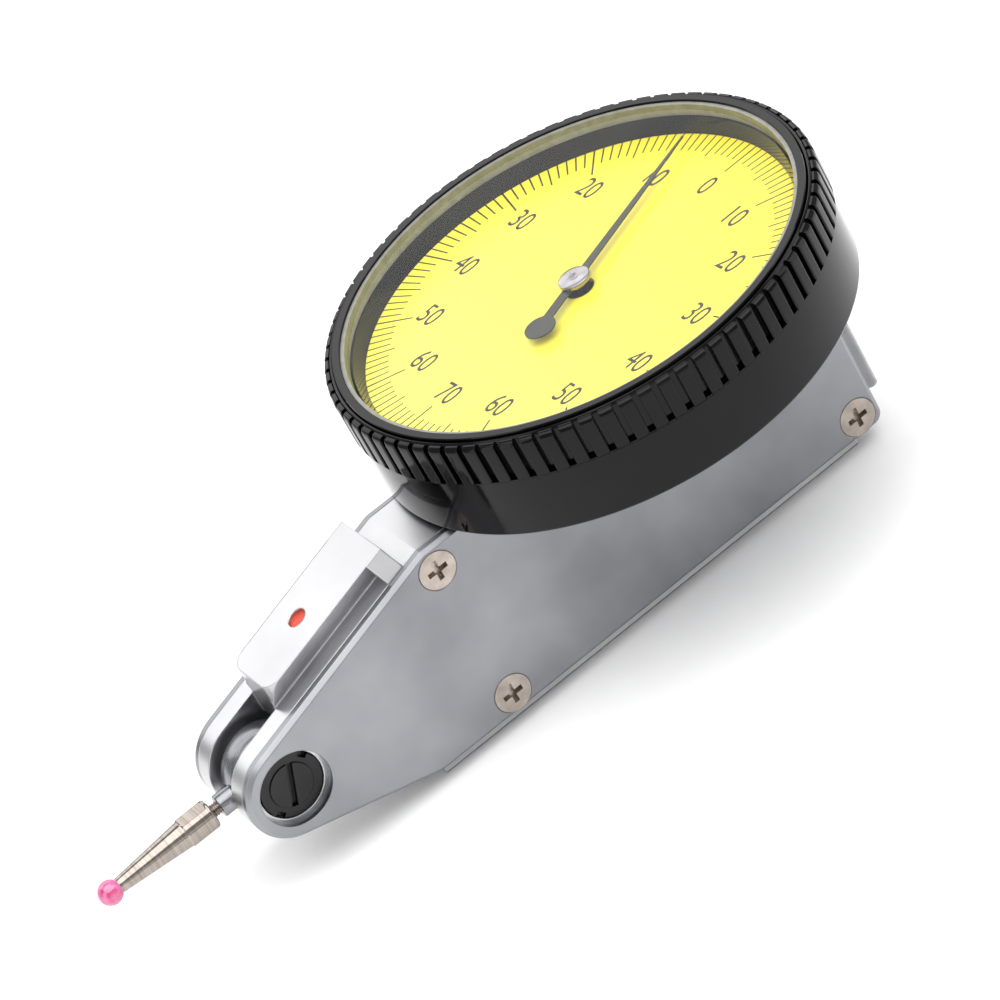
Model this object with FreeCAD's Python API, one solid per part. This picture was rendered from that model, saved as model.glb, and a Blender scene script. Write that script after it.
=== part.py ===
import FreeCAD, Part
import math
import os

from FreeCAD import Vector

os.makedirs("parts", exist_ok=True)

# Dial test indicator, lever type, in millimetres.
# Origin: dial axis, on the flat face of the bottom dovetail rail.
# +X points to the contact point, +Z to the crystal, +Y to the left side cover.

# body
body_width = 8.9
cover_thickness = 0.85
rail_height = 1.25
body_rear = -15.0
body_depth = 16.6
corner_radius = 0.9
edge_chamfer = 0.35
pivot_x = 38.85
pivot_z = 8.4
nose_radius = 4.05
slope_top = 17.0
slope_bottom = 16.0

# dovetail rails
rail_width = 6.0
rail_angle = 60.0
front_rail_rear = 23.2
front_rail_front = 36.55
front_rail_height = 2.2
front_corner_radius = 1.3
groove_stop = 1.7
bottom_rail_rear = -12.6
bottom_rail_front = 28.2
rear_rail_bottom = 3.1
index_dot_x = 31.2
index_dot_radius = 0.8
index_dot_depth = 0.7

# nose slot and pivot hardware
slot_width = 3.7
slot_rear = 36.55
pivot_hole_radius = 3.0
lock_nut_radius = 2.6
lock_nut_height = 1.0
lock_nut_recess = 0.8
pivot_screw_radius = 1.8
pivot_screw_gap = 0.1
driver_slot = 0.5

# contact point, from the pivot outwards
hub_radius = 3.5
hub_width = 2.2
boss_radius = 0.95
boss_end = 4.8
neck_radius = 0.55
neck_length = 0.7
stylus_root_radius = 1.22
stylus_tip_radius = 0.62
stylus_reach = 15.0
ball_radius = 1.0
wrench_flat_depth = 0.2

# lever
cheek_radius = 2.7
cheek_thickness = 0.44
washer_thickness = 0.12
shaft_radius = 0.9
journal_radius = 0.5
journal_length = 0.7
lever_bar_height = 2.0
lever_bar_width = 2.4
fork_width = 1.2
running_gap = 0.03
side_gap = 0.02

# movement
train_z = pivot_z
sector_x = 10.0
sector_pin_arm = 1.8
sector_pin_radius = 0.25
tooth_module = 1.0 / 6.0
pinion_teeth = 12
sector_full_teeth = 108
sector_teeth_below = 5
sector_teeth_above = 2
crown_teeth = 60
hand_pinion_teeth = 12
crown_module = 0.125
gear_thickness = 0.8
gear_plane = 1.25
arbor_radius = 0.4
pivot_radius = 0.18
jewel_radius = 0.6
plate_thickness = 0.8
plate_rear = -8.0
plate_front = 15.0
plate_rim = 0.8
chamber_rear = -10.5
chamber_bottom = 4.0
chamber_top = 15.2
pillar_radius = 0.7
small_head_radius = 0.35
small_head_height = 0.35
small_shank_radius = 0.2
cock_reach = 0.55
cock_thickness = 0.6
hairspring_turns = 4
hairspring_outer = 2.4
hairspring_inner = 0.8
hairspring_strip = 0.06
hairspring_height = 0.4
hairspring_z = 13.6

# dial, bezel and crystal
dial_height = 24.7
drum_gap = 0.3
bezel_radius = 20.0
bezel_wall = 1.95
skirt_step = 0.3
rim_width = 0.75
bezel_top = 2.33
ring_top = 2.53
knurl_count = 80
knurl_groove_width = 0.5
knurl_groove_depth = 0.45
knurl_top = 1.9
knurl_bottom = -1.1
dial_thickness = 0.4
dial_gap = 0.15
dial_lip = 0.55
crystal_step = 0.1
crystal_thickness = 0.8
crystal_top = 2.1
gasket_width = 0.32
base_thickness = 0.9
base_clearance = 0.1
centre_hole_radius = 1.2

# pointer
pointer_angle = 23.9
pointer_margin = 1.2
pointer_tail = 5.2
pointer_weight_radius = 1.25
pointer_plane = 0.7
pointer_thickness = 0.12
pointer_hub_radius = 1.3

# cover screws
screw_head_radius = 1.55
screw_shank_radius = 0.75
screw_length = 2.6
screw_rim = 0.05
screw_recess_width = 0.42
screw_places = [(21.3, 15.8), (21.1, 2.95), (-13.0, 2.95)]

# values worked out from the sizes above
half_width = body_width / 2
frame_half = half_width - cover_thickness
body_bottom = rail_height
body_top = body_bottom + body_depth
drum_bottom = body_top + drum_gap
slope_run = math.tan(math.radians(slope_top))
plate_inner = frame_half - plate_thickness
bezel_bore = bezel_radius - bezel_wall
skirt_radius = bezel_radius - skirt_step
dial_radius = bezel_bore - dial_gap
dial_window = bezel_bore - dial_lip
crystal_radius = bezel_bore + crystal_step
pointer_reach = dial_window - pointer_margin
sector_ratio = (pivot_x - sector_x - sector_pin_arm) / sector_pin_arm
sector_radius = tooth_module * sector_full_teeth / 2
pinion_radius = tooth_module * pinion_teeth / 2
crown_x = sector_x - sector_radius - pinion_radius
crown_radius = crown_module * crown_teeth / 2
hand_pinion_radius = crown_module * hand_pinion_teeth / 2


def cylinder(base, axis, radius, length):
    return Part.makeCylinder(radius, length, Vector(*base), Vector(*axis))


def tube(base, axis, outer, inner, length):
    return cylinder(base, axis, outer, length).cut(cylinder(base, axis, inner, length))


def block(low, high):
    size = [b - a for a, b in zip(low, high)]
    return Part.makeBox(*size, Vector(*low))


def side_prism(points, y_low, y_high):
    """A prism along Y from corner points given as (x, z)."""
    corners = [Vector(x, y_low, z) for x, z in points]
    face = Part.Face(Part.makePolygon(corners + corners[:1]))
    return face.extrude(Vector(0, y_high - y_low, 0))


def flat_prism(points, z_low, z_high):
    """A prism along Z from corner points given as (x, y)."""
    corners = [Vector(x, y, z_low) for x, y in points]
    face = Part.Face(Part.makePolygon(corners + corners[:1]))
    return face.extrude(Vector(0, 0, z_high - z_low))


def turned(points):
    """A solid turned about the dial axis from corner points given as (radius, z)."""
    corners = [Vector(r, 0, z) for r, z in points]
    face = Part.Face(Part.makePolygon(corners + corners[:1]))
    return face.revolve(Vector(0, 0, 0), Vector(0, 0, 1), 360)


def fused(shapes):
    return shapes[0].multiFuse(shapes[1:]).removeSplitter() if len(shapes) > 1 else shapes[0]


def mirrored(shape):
    return shape.mirror(Vector(0, 0, 0), Vector(0, 1, 0))


def save(name, shape):
    shape.exportStep("parts/" + name + ".step")


def slope_z(x, offset=0.0):
    """Height of the top slope, or of a line that lies offset outside it."""
    tilt = math.radians(slope_top)
    return pivot_z + (nose_radius + offset) / math.cos(tilt) + (pivot_x - x) * slope_run


def body_outline(y):
    """The body's side profile as a face at the given Y."""
    top = math.radians(slope_top)
    low = math.radians(slope_bottom)
    top_foot = (pivot_x + nose_radius * math.sin(top), pivot_z + nose_radius * math.cos(top))
    low_foot = (pivot_x + nose_radius * math.sin(low), pivot_z - nose_radius * math.cos(low))
    bend_x = pivot_x - (body_top - slope_z(pivot_x)) / slope_run
    heel_x = low_foot[0] - (low_foot[1] - body_bottom) / math.tan(low)
    spots = [
        (body_rear, body_top),
        (body_rear, body_bottom + corner_radius),
        (body_rear + corner_radius, body_bottom),
        (heel_x, body_bottom),
        low_foot,
        top_foot,
        (bend_x, body_top),
    ]
    at = [Vector(x, y, z) for x, z in spots]
    turn = corner_radius * (1 - math.sqrt(0.5))
    heel = Vector(body_rear + turn, y, body_bottom + turn)
    nose = Vector(pivot_x + nose_radius, y, pivot_z)
    edges = [
        Part.makeLine(at[0], at[1]),
        Part.Arc(at[1], heel, at[2]).toShape(),
        Part.makeLine(at[2], at[3]),
        Part.makeLine(at[3], at[4]),
        Part.Arc(at[4], nose, at[5]).toShape(),
        Part.makeLine(at[5], at[6]),
        Part.makeLine(at[6], at[0]),
    ]
    return Part.Face(Part.Wire(edges))


def rail_prism(length, height, foot_half, top_half):
    """A rail along +X from the origin, standing up along +Z."""
    section = [(-foot_half, 0), (foot_half, 0), (top_half, height), (-top_half, height)]
    corners = [Vector(0, y, z) for y, z in section]
    face = Part.Face(Part.makePolygon(corners + corners[:1]))
    return face.extrude(Vector(length, 0, 0))


def dovetail(length, height):
    undercut = height / math.tan(math.radians(rail_angle))
    return rail_prism(length, height, rail_width / 2 - undercut, rail_width / 2)


def bottom_rail():
    rail = dovetail(bottom_rail_front - bottom_rail_rear, rail_height)
    rail.rotate(Vector(0, 0, 0), Vector(1, 0, 0), 180)
    rail.translate(Vector(bottom_rail_rear, 0, rail_height))
    return rail


def rear_rail():
    rail = dovetail(body_top - rear_rail_bottom, rail_height)
    tops = [e for e in rail.Edges if abs(e.CenterOfMass.z - rail_height) < 1e-6]
    ends = [e for e in tops if abs(e.CenterOfMass.x) < 1e-6]
    rail = rail.makeFillet(rail_height * 0.4, ends)
    rail.rotate(Vector(0, 0, 0), Vector(0, 1, 0), -90)
    rail.translate(Vector(body_rear, 0, rear_rail_bottom))
    return rail


def front_rail():
    """The rail on the nose slope: a block with an undercut groove along each side."""
    tilt = math.radians(slope_top)
    run = (front_rail_front - front_rail_rear) / math.cos(tilt) + front_rail_height
    rail = rail_prism(run, front_rail_height, frame_half, rail_width / 2)
    undercut = front_rail_height / math.tan(math.radians(rail_angle))
    foot = rail_width / 2 - undercut
    groove = [
        (foot, 0),
        (frame_half + 1, 0),
        (frame_half + 1, front_rail_height + 1),
        (rail_width / 2, front_rail_height + 1),
        (rail_width / 2, front_rail_height),
    ]
    corners = [Vector(groove_stop, y, z) for y, z in groove]
    cutter = Part.Face(Part.makePolygon(corners + corners[:1])).extrude(Vector(run, 0, 0))
    rail = rail.cut(cutter).cut(mirrored(cutter))
    rail.rotate(Vector(0, 0, 0), Vector(0, 1, 0), slope_top)
    rail.translate(Vector(front_rail_rear, 0, slope_z(front_rail_rear)))
    far = block((front_rail_front, -body_width, 0), (front_rail_front + 20, body_width, 40))
    rail = rail.cut(far)
    corner = front_rail_front - front_corner_radius
    side = rail_width / 2 - front_corner_radius
    keep = block((0, -body_width, 0), (corner, body_width, 40))
    keep = keep.fuse(block((0, -side, 0), (front_rail_front, side, 40)))
    for sign in (-1, 1):
        keep = keep.fuse(cylinder((corner, sign * side, 0), (0, 0, 1), front_corner_radius, 40))
    lip = slope_z(front_rail_front) + 0.35 * front_rail_height
    keep = keep.fuse(block((0, -body_width, 0), (front_rail_front, body_width, lip)))
    return rail.common(keep)


def index_dot_seat(radius, depth, top=0.0):
    """A round cutter or plug that stands square on the front rail's top face."""
    tilt = math.radians(slope_top)
    out = Vector(math.sin(tilt), 0, math.cos(tilt))
    face = Vector(index_dot_x, 0, slope_z(index_dot_x, front_rail_height))
    return Part.makeCylinder(radius, depth - top, face - out * depth, out)


def nose_slot():
    half = slot_width / 2
    far = pivot_x + nose_radius + 5
    slot = block((slot_rear, -half, 0), (far, half, slope_z(slot_rear) + 0.01))
    room = cylinder((pivot_x, -half, pivot_z), (0, 1, 0), hub_radius + 0.3, slot_width)
    tunnel = block((30.0, -half, pivot_z - 2.4), (pivot_x, half, pivot_z + 2.4))
    return slot.fuse(room).fuse(tunnel)


def chamber():
    """The movement chamber, open to both sides of the frame."""
    outline = [
        (chamber_rear, chamber_bottom),
        (26.0, chamber_bottom),
        (31.5, pivot_z - 2.0),
        (31.5, pivot_z + 2.2),
        (18.0, 14.0),
        (16.0, chamber_top),
        (chamber_rear, chamber_top),
    ]
    return side_prism(outline, -frame_half, frame_half)


def plate_pocket(clearance=0.0):
    """Room for the left movement plate, or the plate itself without clearance."""
    low = chamber_bottom - plate_rim - clearance
    high = chamber_top + plate_rim + clearance
    rear = plate_rear - clearance
    front = plate_front + clearance
    body = block((rear, plate_inner, low), (front, frame_half, high))
    edges = [e for e in body.Edges if abs(e.tangentAt(e.FirstParameter).y) > 0.9]
    return body.makeFillet(1.0, edges)


def movement_screw_spots():
    low = chamber_bottom - plate_rim / 2
    high = chamber_top + plate_rim / 2
    return [(x, z) for x in (plate_rear + 1.5, plate_front - 1.5) for z in (low, high)]


def body_frame():
    frame = body_outline(-frame_half).extrude(Vector(0, 2 * frame_half, 0))
    frame = fused([frame, bottom_rail(), rear_rail(), front_rail()])
    frame = frame.cut(chamber()).cut(nose_slot())
    frame = frame.cut(plate_pocket(0.03)).cut(mirrored(plate_pocket(0.03)))
    frame = frame.cut(index_dot_seat(index_dot_radius, index_dot_depth, -1.0))
    nut_floor = half_width - lock_nut_recess - lock_nut_height
    frame = frame.cut(cylinder((pivot_x, -half_width, pivot_z), (0, 1, 0), pivot_screw_radius, body_width))
    for sign in (-1, 1):
        seat = cylinder((pivot_x, sign * nut_floor, pivot_z), (0, sign, 0), lock_nut_radius + 0.1, 4)
        frame = frame.cut(seat)
        for x, z in screw_places:
            hole = cylinder((x, sign * (half_width - screw_length), z), (0, sign, 0), screw_shank_radius, 4)
            frame = frame.cut(hole)
        for x, z in movement_screw_spots():
            hole = cylinder((x, sign * (plate_inner - 0.8), z), (0, sign, 0), small_shank_radius, 1.2)
            frame = frame.cut(hole)
    frame = frame.cut(cylinder((0, 0, chamber_top - 1), (0, 0, 1), centre_hole_radius, 6))
    for x, y in base_screw_spots():
        frame = frame.cut(cylinder((x, y, body_top - 1.4), (0, 0, 1), 0.5, 3))
    return frame


def cover_screw(clearance=0.0):
    """A countersunk screw along -Y from the cover's face, or its seat with a clearance."""
    wide = screw_head_radius + clearance
    foot = Vector(0, -cover_thickness, 0)
    head = Part.makeCone(screw_shank_radius, wide, cover_thickness - screw_rim, foot, Vector(0, 1, 0))
    disc = cylinder((0, -screw_rim, 0), (0, 1, 0), wide, screw_rim + clearance)
    shank = cylinder((0, -screw_length, 0), (0, 1, 0), screw_shank_radius, screw_length - screw_rim)
    return fused([head, disc, shank])


def side_cover():
    cover = body_outline(frame_half).extrude(Vector(0, cover_thickness, 0))
    rim = [e for e in cover.Edges if abs(e.BoundBox.YMin - half_width) < 1e-6]
    cover = cover.makeChamfer(edge_chamfer, rim)
    cover = cover.cut(cylinder((pivot_x, frame_half - 1, pivot_z), (0, 1, 0), pivot_hole_radius, 4))
    for x, z in screw_places:
        cutter = cover_screw(0.05)
        cutter.translate(Vector(x, half_width, z))
        cover = cover.cut(cutter)
    return cover


def cross_recess(depth):
    """The cross recess of a small screw, cut downwards from the origin's face."""
    arm = screw_head_radius * 0.55
    half = screw_recess_width / 2
    cross = block((-arm, -depth, -half), (arm, 1, half))
    return cross.fuse(block((-half, -depth, -arm), (half, 1, arm)))


def cover_screws():
    screws = []
    for x, z in screw_places:
        screw = cover_screw().cut(cross_recess(0.6))
        screw.translate(Vector(x, half_width, z))
        screws.append(screw)
    return Part.Compound(screws)


def pivot_screw():
    top = half_width - lock_nut_recess + pivot_screw_gap
    low = slot_width / 2 + pivot_screw_gap
    screw = cylinder((pivot_x, low, pivot_z), (0, 1, 0), pivot_screw_radius, top - low)
    reach = pivot_shaft_half() + journal_length - low
    cup = cylinder((pivot_x, low, pivot_z), (0, 1, 0), journal_radius + running_gap, reach + 0.05)
    slot = block(
        (pivot_x - pivot_screw_radius, top - 0.45, pivot_z - driver_slot / 2),
        (pivot_x + pivot_screw_radius, top + 1, pivot_z + driver_slot / 2),
    )
    slot.rotate(Vector(pivot_x, 0, pivot_z), Vector(0, 1, 0), 70)
    return screw.cut(cup).cut(slot)


def pivot_lock_nut():
    floor = half_width - lock_nut_recess - lock_nut_height
    nut = tube((pivot_x, floor, pivot_z), (0, 1, 0), lock_nut_radius, pivot_screw_radius, lock_nut_height)
    for angle in (40, 220):
        notch = block(
            (pivot_x + lock_nut_radius - 0.4, floor + lock_nut_height - 0.4, pivot_z - 0.35),
            (pivot_x + lock_nut_radius + 1, floor + lock_nut_height + 1, pivot_z + 0.35),
        )
        notch.rotate(Vector(pivot_x, 0, pivot_z), Vector(0, 1, 0), angle)
        nut = nut.cut(notch)
    return nut


def pivot_shaft_half():
    return hub_width / 2 + side_gap + washer_thickness + cheek_thickness


def pivot_shaft():
    half = pivot_shaft_half()
    shaft = cylinder((pivot_x, -half, pivot_z), (0, 1, 0), shaft_radius, 2 * half)
    long_half = half + journal_length
    return shaft.fuse(cylinder((pivot_x, -long_half, pivot_z), (0, 1, 0), journal_radius, 2 * long_half))


def lever_yoke():
    """The fork that straddles the contact hub, with the long arm behind it."""
    outer = pivot_shaft_half()
    inner = outer - cheek_thickness
    cheeks = []
    for low in (-outer, inner):
        disc = cylinder((pivot_x, low, pivot_z), (0, 1, 0), cheek_radius, cheek_thickness)
        ear = block(
            (pivot_x - hub_radius - 1.9, low, pivot_z - 2.0),
            (pivot_x, low + cheek_thickness, pivot_z + 2.0),
        )
        cheeks.append(disc.fuse(ear))
    web_front = pivot_x - hub_radius - 0.3
    web_rear = pivot_x - hub_radius - 1.9
    web = block((web_rear, -outer, pivot_z - 2.0), (web_front, outer, pivot_z + 2.0))
    high = lever_bar_height / 2
    fork_x = sector_x + sector_pin_arm
    slim = fork_width / 2
    arm = side_prism(
        [
            (web_rear + 0.1, pivot_z - high),
            (web_rear + 0.1, pivot_z + high),
            (fork_x + 4, pivot_z + high * 0.8),
            (fork_x - 0.6, pivot_z + high * 0.65),
            (fork_x - 0.6, pivot_z - high * 0.65),
            (fork_x + 4, pivot_z - high * 0.8),
        ],
        -slim,
        slim,
    )
    wide = block(
        (fork_x + 9, -lever_bar_width / 2, pivot_z - high * 0.85),
        (web_rear + 0.1, lever_bar_width / 2, pivot_z + high * 0.85),
    )
    gap = sector_pin_radius + running_gap
    slot = block((fork_x - 2, -slim - 1, train_z - gap), (fork_x + 0.8, slim + 1, train_z + gap))
    yoke = fused(cheeks + [web, arm, wide])
    return yoke.cut(slot).cut(cylinder((pivot_x, -4, pivot_z), (0, 1, 0), shaft_radius, 8))


def friction_washers():
    inner = hub_width / 2 + side_gap
    washers = [
        tube((pivot_x, low, pivot_z), (0, 1, 0), 2.2, shaft_radius, washer_thickness)
        for low in (inner, -inner - washer_thickness)
    ]
    return Part.Compound(washers)


def contact_hub():
    half = hub_width / 2
    hub = cylinder((pivot_x, -half, pivot_z), (0, 1, 0), hub_radius, hub_width)
    hub = hub.makeChamfer(0.15, [e for e in hub.Edges if e.Length > hub_radius * 6])
    boss = cylinder((pivot_x, 0, pivot_z), (1, 0, 0), boss_radius, boss_end)
    boss_rim = [e for e in boss.Edges if abs(e.CenterOfMass.x - pivot_x - boss_end) < 1e-6]
    boss = boss.makeChamfer(0.12, boss_rim)
    hole = cylinder((pivot_x, -3, pivot_z), (0, 1, 0), shaft_radius + running_gap, 6)
    thread = cylinder((pivot_x + 2.5, 0, pivot_z), (1, 0, 0), neck_radius, 4)
    return hub.fuse(boss).cut(hole).cut(thread)


def stylus():
    """The screwed-in contact stem: thread, shoulder with wrench flats, long taper."""
    root = boss_end + neck_length
    tip = stylus_reach - math.sqrt(ball_radius ** 2 - stylus_tip_radius ** 2)
    points = [
        (2.5, 0),
        (2.5, neck_radius),
        (root, neck_radius),
        (root, stylus_root_radius - 0.15),
        (root + 0.15, stylus_root_radius),
        (root + 1.5, stylus_root_radius),
        (tip, stylus_tip_radius),
        (tip, 0),
    ]
    corners = [Vector(pivot_x + x, 0, pivot_z + r) for x, r in points]
    face = Part.Face(Part.makePolygon(corners + corners[:1]))
    stem = face.revolve(Vector(pivot_x, 0, pivot_z), Vector(1, 0, 0), 360)
    stem = stem.cut(Part.makeSphere(ball_radius, Vector(pivot_x + stylus_reach, 0, pivot_z)))
    low = stylus_root_radius - wrench_flat_depth
    for sign in (-1, 1):
        flat = block((pivot_x + root + 0.3, -2, low), (pivot_x + root + 2.6, 2, low + 2))
        if sign < 0:
            flat = flat.mirror(Vector(0, 0, 0), Vector(0, 0, 1))
        flat.translate(Vector(0, 0, pivot_z))
        stem = stem.cut(flat)
    return stem


def ruby_ball():
    return Part.makeSphere(ball_radius, Vector(pivot_x + stylus_reach, 0, pivot_z))


def tooth_corners(radius, module, teeth, index, depth_in, depth_out, slim=0.36):
    """Corner points (radius, angle) of one tooth, from its left foot to its right foot."""
    step = 2 * math.pi / teeth
    mid = index * step
    half = slim * step / 2
    foot = radius - depth_in * module
    tip = radius + depth_out * module
    return [
        (foot, mid - 1.35 * half),
        (tip, mid - 0.5 * half),
        (tip, mid + 0.5 * half),
        (foot, mid + 1.35 * half),
    ]


def gear_points(module, teeth, shift=0.5):
    """Outline of a small spur gear as (x, y) points about its centre."""
    radius = module * teeth / 2
    points = []
    for index in range(teeth):
        for r, a in tooth_corners(radius, module, teeth, index + shift, 1.25, 0.9):
            points.append((r * math.cos(a), r * math.sin(a)))
    return points


def crown_pinion():
    points = [(crown_x + u, train_z + v) for u, v in gear_points(tooth_module, pinion_teeth)]
    low = gear_plane - gear_thickness / 2
    return side_prism(points, low, low + gear_thickness)


def arbor(x, z):
    """A stepped arbor along Y that runs in the jewels of both movement plates."""
    long_half = frame_half - 0.15
    short_half = plate_inner - 0.15
    shaft = cylinder((x, -short_half, z), (0, 1, 0), arbor_radius, 2 * short_half)
    return shaft.fuse(cylinder((x, -long_half, z), (0, 1, 0), pivot_radius, 2 * long_half))


def crown_arbor():
    return arbor(crown_x, train_z).fuse(crown_pinion()).removeSplitter()


def crown_gear():
    """The crown wheel: teeth stand on its face and drive the hand pinion."""
    tooth_height = 2.15 * crown_module
    tip_y = -hand_pinion_radius + 0.95 * crown_module
    foot_y = tip_y - tooth_height
    rim_in = crown_radius - 0.45
    rim_out = crown_radius + 0.15
    wheel = tube((crown_x, foot_y - 0.35, train_z), (0, 1, 0), rim_out, arbor_radius, 0.35)
    hub = tube((crown_x, foot_y - 0.9, train_z), (0, 1, 0), 1.0, arbor_radius, 0.9)
    wheel = wheel.fuse(hub)
    for index in range(5):
        angle = math.radians(72 * index + 54)
        x = crown_x + 2.0 * math.cos(angle)
        z = train_z + 2.0 * math.sin(angle)
        wheel = wheel.cut(cylinder((x, foot_y - 2, z), (0, 1, 0), 0.72, 4))
    pitch = 2 * math.pi * crown_radius / crown_teeth
    section = [
        (-0.17 * pitch, foot_y - 0.01),
        (0.17 * pitch, foot_y - 0.01),
        (0.08 * pitch, tip_y),
        (-0.08 * pitch, tip_y),
    ]
    corners = [Vector(crown_x + u, v, train_z + rim_in) for u, v in section]
    tooth = Part.Face(Part.makePolygon(corners + corners[:1])).extrude(Vector(0, 0, rim_out - rim_in - 0.02))
    teeth = []
    for index in range(crown_teeth):
        copy = tooth.copy()
        copy.rotate(Vector(crown_x, 0, train_z), Vector(0, 1, 0), 360 * index / crown_teeth)
        teeth.append(copy)
    return wheel.multiFuse(teeth)


def sector_gear():
    """The toothed sector, its hub and the short tail that carries the drive pin."""
    low = gear_plane - gear_thickness / 2
    foot = sector_radius - 1.25 * tooth_module
    step = 2 * math.pi / sector_full_teeth
    points = []
    for index in range(-sector_teeth_above, sector_teeth_below + 1):
        for r, a in tooth_corners(sector_radius, tooth_module, sector_full_teeth, index, 1.25, 0.9):
            points.append((sector_x - r * math.cos(a), train_z - r * math.sin(a)))
    start = -sector_teeth_above * step - step
    end = sector_teeth_below * step + step
    rim = foot - 0.9
    back = [end, start]
    points.append((sector_x - foot * math.cos(end), train_z - foot * math.sin(end)))
    for a in back:
        points.append((sector_x - rim * math.cos(a), train_z - rim * math.sin(a)))
    points.append((sector_x - foot * math.cos(start), train_z - foot * math.sin(start)))
    toothed = side_prism(points, low, low + gear_thickness)
    mid = (start + end) / 2
    arm = side_prism(
        [
            (sector_x - (rim + 0.3) * math.cos(mid - 0.1), train_z - (rim + 0.3) * math.sin(mid - 0.1)),
            (sector_x - (rim + 0.3) * math.cos(mid + 0.1), train_z - (rim + 0.3) * math.sin(mid + 0.1)),
            (sector_x, train_z - 0.9),
            (sector_x, train_z + 0.9),
        ],
        low,
        low + gear_thickness,
    )
    hub = cylinder((sector_x, low, train_z), (0, 1, 0), 1.1, gear_thickness)
    tail = block(
        (sector_x, low, train_z - 0.5),
        (sector_x + sector_pin_arm, low + gear_thickness, train_z + 0.5),
    )
    end_disc = cylinder((sector_x + sector_pin_arm, low, train_z), (0, 1, 0), 0.5, gear_thickness)
    gear = fused([toothed, arm, hub, tail, end_disc])
    pin_hole = cylinder((sector_x + sector_pin_arm, low - 1, train_z), (0, 1, 0), sector_pin_radius, 4)
    return gear.cut(cylinder((sector_x, -4, train_z), (0, 1, 0), arbor_radius, 8)).cut(pin_hole)


def sector_pin():
    high = gear_plane + gear_thickness / 2
    low = -fork_width / 2
    return cylinder((sector_x + sector_pin_arm, low, train_z), (0, 1, 0), sector_pin_radius, high - low)


def pillar_spots():
    return [(plate_rear + 1.8, 13.0), (plate_rear + 1.8, 5.8), (plate_front - 1.8, 13.0)]


def movement_plate(cock_side):
    plate = plate_pocket()
    for x in (crown_x, sector_x):
        plate = plate.cut(cylinder((x, 0, train_z), (0, 1, 0), jewel_radius, 6))
    for x, z in pillar_spots():
        plate = plate.cut(cylinder((x, 0, z), (0, 1, 0), 0.35, 6))
    for x, z in movement_screw_spots():
        plate = plate.cut(cylinder((x, 0, z), (0, 1, 0), small_shank_radius, 6))
        plate = plate.cut(cylinder((x, frame_half - small_head_height, z), (0, 1, 0), small_head_radius, 2))
    return plate if cock_side else mirrored(plate)


def movement_pillars():
    pillars = []
    for x, z in pillar_spots():
        post = cylinder((x, -plate_inner, z), (0, 1, 0), pillar_radius, 2 * plate_inner)
        tenon = cylinder((x, -frame_half, z), (0, 1, 0), 0.35, 2 * frame_half)
        pillars.append(post.fuse(tenon))
    return Part.Compound(pillars)


def movement_screws():
    screws = []
    for x, z in movement_screw_spots():
        seat = (x, frame_half - small_head_height, z)
        head = cylinder(seat, (0, 1, 0), small_head_radius, small_head_height)
        shank = cylinder((x, plate_inner - 0.8, z), (0, 1, 0), small_shank_radius, plate_thickness + 0.5)
        slot = block((x - 1, frame_half - 0.12, z - 0.06), (x + 1, frame_half + 1, z + 0.06))
        screw = head.fuse(shank).cut(slot)
        screws += [screw, mirrored(screw)]
    return Part.Compound(screws)


def train_jewels(x):
    jewels = []
    for low in (plate_inner, -frame_half):
        ring = tube((x, low, train_z), (0, 1, 0), jewel_radius, pivot_radius + running_gap, plate_thickness)
        jewels.append(ring)
    return Part.Compound(jewels)


def cock_floor():
    return train_z + pinion_radius + 0.55


def lower_cock():
    """The bracket on the left movement plate that carries the pointer arbor's foot."""
    low = cock_floor()
    arm = block((-1.3, -cock_reach, low), (cock_reach, plate_inner, low + cock_thickness))
    foot = block((-1.3, plate_inner - 0.7, low), (cock_reach, plate_inner, low + 2.2))
    return fused([arm, foot]).cut(cylinder((0, 0, low - 1), (0, 0, 1), 0.42, 4))


def cock_jewel():
    low = cock_floor()
    return tube((0, 0, low), (0, 0, 1), 0.42, pivot_radius + running_gap, cock_thickness)


def hand_pinion_low():
    return train_z + crown_radius - 1.0


def pointer_arbor():
    top = dial_height + pointer_plane + pointer_thickness
    low = hand_pinion_low()
    height = 1.3
    points = gear_points(crown_module, hand_pinion_teeth, 0.0)
    turned_points = [(u * math.cos(math.pi / 12) - v * math.sin(math.pi / 12),
                      u * math.sin(math.pi / 12) + v * math.cos(math.pi / 12)) for u, v in points]
    pinion = flat_prism(turned_points, low, low + height)
    shaft = cylinder((0, 0, low + height), (0, 0, 1), 0.35, top - low - height)
    foot = cylinder((0, 0, cock_floor() + 0.15), (0, 0, 1), pivot_radius, low - cock_floor())
    return fused([pinion, shaft, foot])


def hairspring_collet():
    return tube((0, 0, hairspring_z), (0, 0, 1), hairspring_inner - 0.05, 0.35, hairspring_height)


def spiral_edges(offset):
    """A flat spiral about the dial axis, built from half circles."""
    growth = (hairspring_outer - hairspring_inner) / (2 * hairspring_turns)
    edges = []
    start = hairspring_inner + offset
    side = 1
    for index in range(2 * hairspring_turns):
        end = start + growth
        first = Vector(side * start, 0, hairspring_z)
        top = Vector(side * (start - end) / 2, side * (start + end) / 2, hairspring_z)
        last = Vector(-side * end, 0, hairspring_z)
        edges.append(Part.Arc(first, top, last).toShape())
        start = end
        side = -side
    return edges, Vector(hairspring_inner + offset, 0, hairspring_z), Vector(start, 0, hairspring_z)


def hairspring():
    inner, inner_start, inner_end = spiral_edges(0.0)
    outer, outer_start, outer_end = spiral_edges(hairspring_strip)
    ends = [Part.makeLine(inner_start, outer_start), Part.makeLine(inner_end, outer_end)]
    wire = Part.Wire(Part.__sortEdges__(inner + outer + ends))
    return Part.Face(wire).extrude(Vector(0, 0, hairspring_height))


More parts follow.
